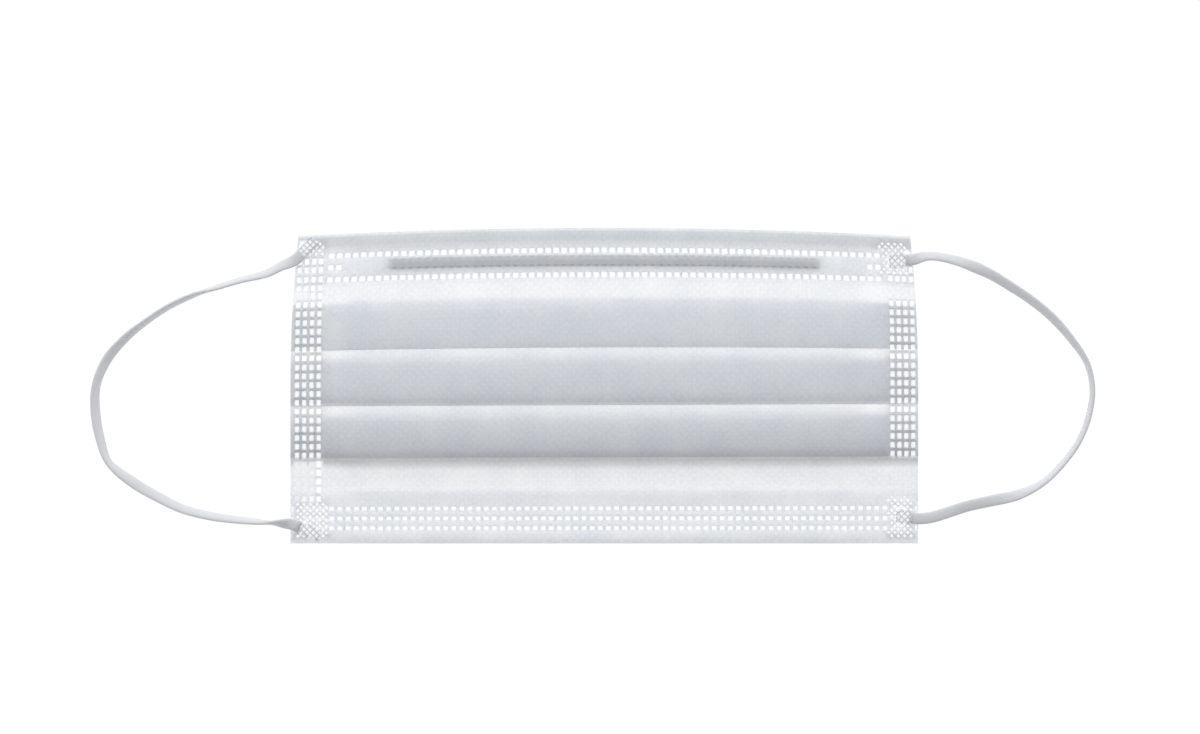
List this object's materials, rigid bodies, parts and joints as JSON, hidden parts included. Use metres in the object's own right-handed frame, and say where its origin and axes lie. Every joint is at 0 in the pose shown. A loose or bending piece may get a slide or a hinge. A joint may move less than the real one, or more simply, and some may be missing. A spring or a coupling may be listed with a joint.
{
  "type": "surgical face mask",
  "caption": "Flat pleated nonwoven face mask with hemmed edges, welded sides, a nose wire and elastic ear loops, lying outer face up.",
  "frame": {"origin": "on the surface that the mask lies on, under the middle of the sheet", "axes": "+X along the pleats, towards the right of the outer face; +Y towards the nose edge; +Z out of the outer face, up as it lies"},
  "size_m": [0.2812, 0.088, 0.0037],
  "materials": {
    "nonwoven": "white spunbond nonwoven, matte, point-embossed",
    "nose_wire": "white plastic-coated wire strip",
    "elastic": "white knitted elastic, soft and matte"
  },
  "bodies": {
    "root": {"mask_sheet": "nonwoven", "nose_wire": "nose_wire", "ear_loop_left": "elastic", "ear_loop_right": "elastic", "loop_weld_nose_left": "elastic", "loop_weld_chin_left": "elastic", "loop_weld_nose_right": "elastic", "loop_weld_chin_right": "elastic"}
  },
  "joints": []
}
